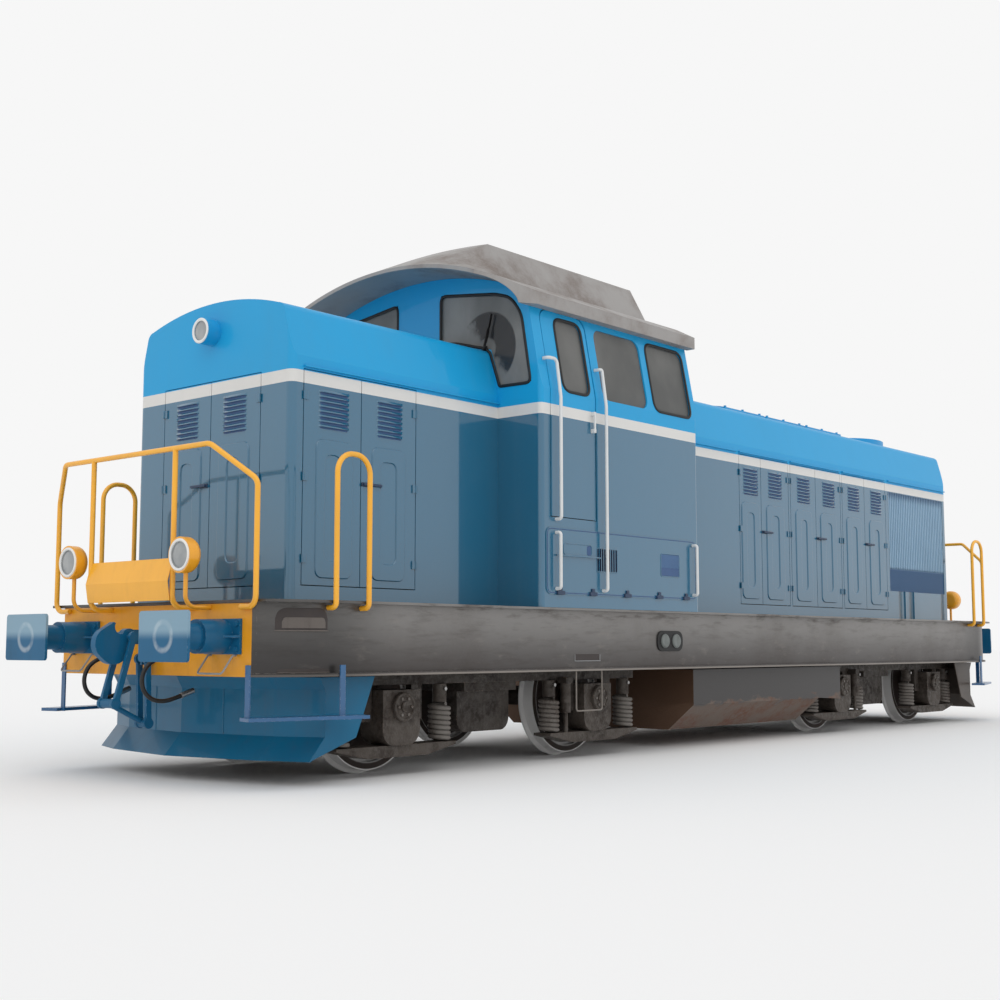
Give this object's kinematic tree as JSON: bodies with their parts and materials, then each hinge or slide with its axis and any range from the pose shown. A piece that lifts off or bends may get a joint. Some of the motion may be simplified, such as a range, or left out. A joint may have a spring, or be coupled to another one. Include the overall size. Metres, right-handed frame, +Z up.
{
  "type": "diesel locomotive",
  "caption": "Diesel locomotive: off-centre cab between a short and a long hood, hinged hood and cab doors, pivoting bogies with turning wheelsets, side buffers and ploughs.",
  "frame": {"origin": "on the floor under the wheel flanges, at the middle of the length over buffers and of the width", "axes": "+X along the length towards the long hood, +Y to the left of that, +Z up"},
  "size_m": [13.7, 3.12, 4.6549],
  "materials": {
    "hood_blue": "satin",
    "door_blue": "satin",
    "roof_grey": "matt",
    "sill_grey": "satin",
    "rail_yellow": "satin",
    "buffer_blue": "satin",
    "rust_brown": "matt",
    "spring_grey": "matt",
    "wheel_steel": "matt",
    "bare_steel": "satin",
    "rail_white": "satin",
    "window_glass": "dusty",
    "lamp_glass": "gloss",
    "hose_rubber": "matt",
    "interior_grey": "matt",
    "seat_cover": "matt"
  },
  "bodies": {
    "frame": {"underframe": "sill_grey", "buffers": "buffer_blue", "draw_gear": "buffer_blue", "brake_hose_1": "hose_rubber", "brake_hose_2": "hose_rubber", "brake_hose_3": "hose_rubber", "brake_hose_4": "hose_rubber", "hose_cocks": "buffer_blue", "hose_couplings": "bare_steel", "ploughs": "buffer_blue", "steps": "buffer_blue", "grab_bars": "sill_grey", "end_railings": "rail_yellow", "lamps": "rail_yellow", "lamp_lenses": "lamp_glass", "fuel_tank": "rust_brown", "short_hood": "hood_blue", "long_hood": "hood_blue", "radiator_grilles": "hood_blue", "cab_body": "hood_blue", "cab_glass": "window_glass", "cab_roof": "roof_grey", "cab_lower_panels": "hood_blue", "cab_handrails": "rail_white", "roof_hatches": "hood_blue", "cab_interior": "interior_grey", "seats": "seat_cover", "engine_block": "interior_grey"},
    "bogie_front": {"bogie_frame_front": "rust_brown", "suspension_front": "rust_brown", "springs_front": "spring_grey"},
    "bogie_rear": {"bogie_frame_rear": "rust_brown", "suspension_rear": "rust_brown", "springs_rear": "spring_grey"},
    "wheelset_1": {"wheelset_1": "wheel_steel"},
    "wheelset_2": {"wheelset_2": "wheel_steel"},
    "wheelset_3": {"wheelset_3": "wheel_steel"},
    "wheelset_4": {"wheelset_4": "wheel_steel"},
    "short_door_front_left": {"short_door_front_left": "door_blue"},
    "short_door_front_right": {"short_door_front_right": "door_blue"},
    "short_door_rear_left": {"short_door_rear_left": "door_blue"},
    "short_door_rear_right": {"short_door_rear_right": "door_blue"},
    "long_door_1a_left": {"long_door_1a_left": "door_blue"},
    "long_door_1a_right": {"long_door_1a_right": "door_blue"},
    "long_door_1b_left": {"long_door_1b_left": "door_blue"},
    "long_door_1b_right": {"long_door_1b_right": "door_blue"},
    "long_door_2a_left": {"long_door_2a_left": "door_blue"},
    "long_door_2a_right": {"long_door_2a_right": "door_blue"},
    "long_door_2b_left": {"long_door_2b_left": "door_blue"},
    "long_door_2b_right": {"long_door_2b_right": "door_blue"},
    "long_door_3a_left": {"long_door_3a_left": "door_blue"},
    "long_door_3a_right": {"long_door_3a_right": "door_blue"},
    "long_door_3b_left": {"long_door_3b_left": "door_blue"},
    "long_door_3b_right": {"long_door_3b_right": "door_blue"},
    "front_door_left": {"front_door_left": "door_blue"},
    "cab_door_left": {"cab_door_left": "hood_blue", "cab_door_glass_left": "window_glass"},
    "front_door_right": {"front_door_right": "door_blue"},
    "cab_door_right": {"cab_door_right": "hood_blue", "cab_door_glass_right": "window_glass"}
  },
  "joints": [
    {"name": "bogie_front_pivot", "type": "hinge", "parent": "frame", "child": "bogie_front", "pos_m": [-3.6, 0, 0.8], "axis": [0, 0, 1], "range_deg": [-2.5, 2.5]},
    {"name": "bogie_rear_pivot", "type": "hinge", "parent": "frame", "child": "bogie_rear", "pos_m": [3.6, 0, 0.8], "axis": [0, 0, 1], "range_deg": [-2.5, 2.5]},
    {"name": "wheelset_1_spin", "type": "hinge", "parent": "bogie_front", "child": "wheelset_1", "pos_m": [-4.85, 0, 0.53], "axis": [0, 1, 0], "continuous": true},
    {"name": "wheelset_2_spin", "type": "hinge", "parent": "bogie_front", "child": "wheelset_2", "pos_m": [-2.35, 0, 0.53], "axis": [0, 1, 0], "continuous": true},
    {"name": "wheelset_3_spin", "type": "hinge", "parent": "bogie_rear", "child": "wheelset_3", "pos_m": [2.35, 0, 0.53], "axis": [0, 1, 0], "continuous": true},
    {"name": "wheelset_4_spin", "type": "hinge", "parent": "bogie_rear", "child": "wheelset_4", "pos_m": [4.85, 0, 0.53], "axis": [0, 1, 0], "continuous": true},
    {"name": "short_door_front_left_hinge", "type": "hinge", "parent": "frame", "child": "short_door_front_left", "pos_m": [-5.7035, 0.975, 1.448], "axis": [0, 0, 1], "range_deg": [0, 50]},
    {"name": "short_door_front_right_hinge", "type": "hinge", "parent": "frame", "child": "short_door_front_right", "pos_m": [-5.7035, -0.975, 1.448], "axis": [0, 0, -1], "range_deg": [0, 50]},
    {"name": "short_door_rear_left_hinge", "type": "hinge", "parent": "frame", "child": "short_door_rear_left", "pos_m": [-4.5015, 0.975, 1.448], "axis": [0, 0, -1], "range_deg": [0, 90]},
    {"name": "short_door_rear_right_hinge", "type": "hinge", "parent": "frame", "child": "short_door_rear_right", "pos_m": [-4.5015, -0.975, 1.448], "axis": [0, 0, 1], "range_deg": [0, 90]},
    {"name": "long_door_1a_left_hinge", "type": "hinge", "parent": "frame", "child": "long_door_1a_left", "pos_m": [0.4965, 0.975, 1.448], "axis": [0, 0, 1], "range_deg": [0, 90]},
    {"name": "long_door_1a_right_hinge", "type": "hinge", "parent": "frame", "child": "long_door_1a_right", "pos_m": [0.4965, -0.975, 1.448], "axis": [0, 0, -1], "range_deg": [0, 90]},
    {"name": "long_door_1b_left_hinge", "type": "hinge", "parent": "frame", "child": "long_door_1b_left", "pos_m": [1.5605, 0.975, 1.448], "axis": [0, 0, -1], "range_deg": [0, 90]},
    {"name": "long_door_1b_right_hinge", "type": "hinge", "parent": "frame", "child": "long_door_1b_right", "pos_m": [1.5605, -0.975, 1.448], "axis": [0, 0, 1], "range_deg": [0, 90]},
    {"name": "long_door_2a_left_hinge", "type": "hinge", "parent": "frame", "child": "long_door_2a_left", "pos_m": [1.6085, 0.975, 1.448], "axis": [0, 0, 1], "range_deg": [0, 90]},
    {"name": "long_door_2a_right_hinge", "type": "hinge", "parent": "frame", "child": "long_door_2a_right", "pos_m": [1.6085, -0.975, 1.448], "axis": [0, 0, -1], "range_deg": [0, 90]},
    {"name": "long_door_2b_left_hinge", "type": "hinge", "parent": "frame", "child": "long_door_2b_left", "pos_m": [2.8155, 0.975, 1.448], "axis": [0, 0, -1], "range_deg": [0, 90]},
    {"name": "long_door_2b_right_hinge", "type": "hinge", "parent": "frame", "child": "long_door_2b_right", "pos_m": [2.8155, -0.975, 1.448], "axis": [0, 0, 1], "range_deg": [0, 90]},
    {"name": "long_door_3a_left_hinge", "type": "hinge", "parent": "frame", "child": "long_door_3a_left", "pos_m": [2.8645, 0.975, 1.448], "axis": [0, 0, 1], "range_deg": [0, 90]},
    {"name": "long_door_3a_right_hinge", "type": "hinge", "parent": "frame", "child": "long_door_3a_right", "pos_m": [2.8645, -0.975, 1.448], "axis": [0, 0, -1], "range_deg": [0, 90]},
    {"name": "long_door_3b_left_hinge", "type": "hinge", "parent": "frame", "child": "long_door_3b_left", "pos_m": [4.0305, 0.975, 1.448], "axis": [0, 0, -1], "range_deg": [0, 90]},
    {"name": "long_door_3b_right_hinge", "type": "hinge", "parent": "frame", "child": "long_door_3b_right", "pos_m": [4.0305, -0.975, 1.448], "axis": [0, 0, 1], "range_deg": [0, 90]},
    {"name": "front_door_left_hinge", "type": "hinge", "parent": "frame", "child": "front_door_left", "pos_m": [-5.833, 0.6085, 1.448], "axis": [0, 0, -1], "range_deg": [0, 90]},
    {"name": "cab_door_left_hinge", "type": "hinge", "parent": "frame", "child": "cab_door_left", "pos_m": [-3.3595, 1.405, 2.095], "axis": [0, 0.0688, -0.9976], "range_deg": [0, 75]},
    {"name": "front_door_right_hinge", "type": "hinge", "parent": "frame", "child": "front_door_right", "pos_m": [-5.833, -0.6085, 1.448], "axis": [0, 0, 1], "range_deg": [0, 90]},
    {"name": "cab_door_right_hinge", "type": "hinge", "parent": "frame", "child": "cab_door_right", "pos_m": [-3.3595, -1.405, 2.095], "axis": [0, 0.0688, 0.9976], "range_deg": [0, 75]}
  ]
}
